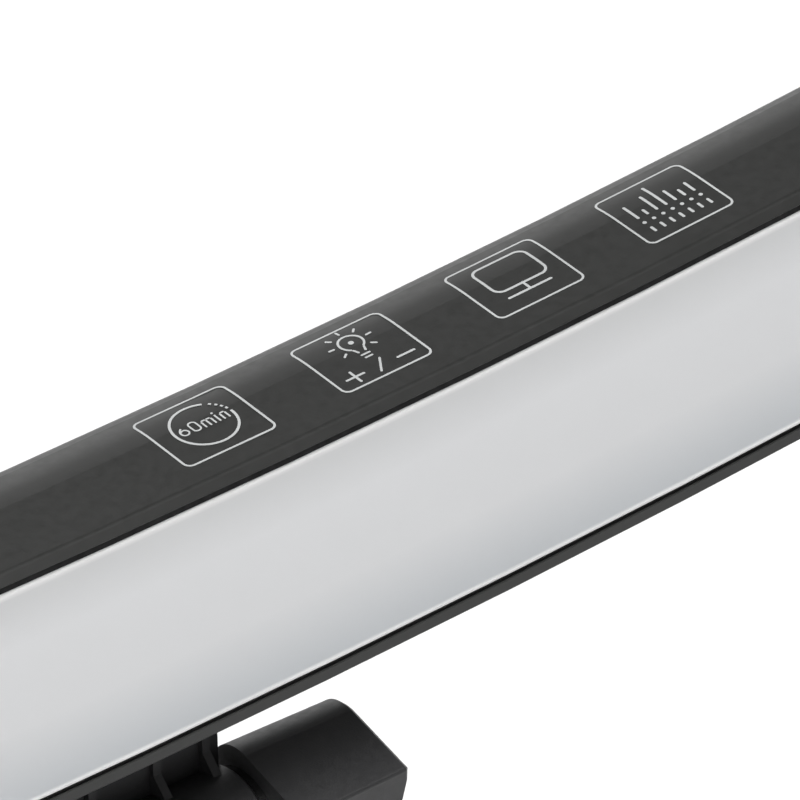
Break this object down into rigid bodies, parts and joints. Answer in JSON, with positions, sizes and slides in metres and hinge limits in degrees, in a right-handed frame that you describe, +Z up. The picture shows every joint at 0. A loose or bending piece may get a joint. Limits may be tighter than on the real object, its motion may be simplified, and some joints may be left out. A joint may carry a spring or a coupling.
{
  "type": "monitor light bar",
  "caption": "Curved light bar with touch keys, an opal front diffuser and a rear ambient light, on a friction hinge and a sprung clamp that sits on a monitor's top edge.",
  "frame": {"origin": "centre of the rubber seat's underside, on the top edge of the monitor", "axes": "+X along the bar to the viewer's right, +Y to the back of the monitor, +Z up"},
  "size_m": [0.4858, 0.0381, 0.1421],
  "materials": {
    "shell_grey": "satin, dark gunmetal grey",
    "opal": "opal white, matt",
    "frosted": "frosted white",
    "reflector": "white",
    "board_metal": "white solder mask on aluminium",
    "led_amber": "LED package with phosphor",
    "board_flex": "white flexible board",
    "led_white": "white LED package",
    "print_grey": "printed light grey",
    "board_green": "green circuit board",
    "copper": "copper foil",
    "chip": "black package",
    "steel": "plain steel",
    "screw_black": "blackened steel",
    "black_plastic": "black, fine texture",
    "washer": "black, smooth",
    "soft": "black silicone rubber",
    "foam": "black closed-cell foam",
    "weight": "raw steel"
  },
  "bodies": {
    "clamp": {"clamp_shell": "black_plastic", "clamp_base": "black_plastic", "clamp_screws": "screw_black", "hinge_shaft": "steel", "hinge_nut": "steel", "disc_spring": "steel", "friction_washers": "washer", "seat_pad": "soft", "lip_pad": "soft", "leg_pin": "steel", "leg_spring": "steel"},
    "bar": {"top_cover": "shell_grey", "rear_housing": "shell_grey", "end_cap_left": "shell_grey", "end_cap_right": "shell_grey", "front_diffuser": "opal", "diffuser_gasket": "foam", "rear_diffuser": "frosted", "reflector_tray": "reflector", "led_board": "board_metal", "front_leds": "led_amber", "rear_strip": "board_flex", "rear_leds": "led_white", "icon_prints": "print_grey", "touch_board": "board_green", "touch_pads": "copper", "control_board": "board_green", "control_chips": "chip", "usb_socket": "steel", "end_cap_screws": "screw_black", "neck_bracket": "black_plastic", "neck_screws": "screw_black"},
    "leg": {"leg_shell": "black_plastic", "leg_cover": "black_plastic", "leg_screws": "screw_black", "counterweight": "weight", "rear_pad": "soft"}
  },
  "joints": [
    {"name": "bar_tilt", "type": "hinge", "parent": "clamp", "child": "bar", "pos_m": [0, -0.004, 0.0207], "axis": [1, 0, 0], "range_deg": [-10, 95]},
    {"name": "leg_swing", "type": "hinge", "parent": "clamp", "child": "leg", "pos_m": [0, 0.019, 0.0054], "axis": [1, 0, 0], "range_deg": [0, 45], "stiffness_Nm_per_rad": 0.04, "springref_deg": -45.84}
  ]
}
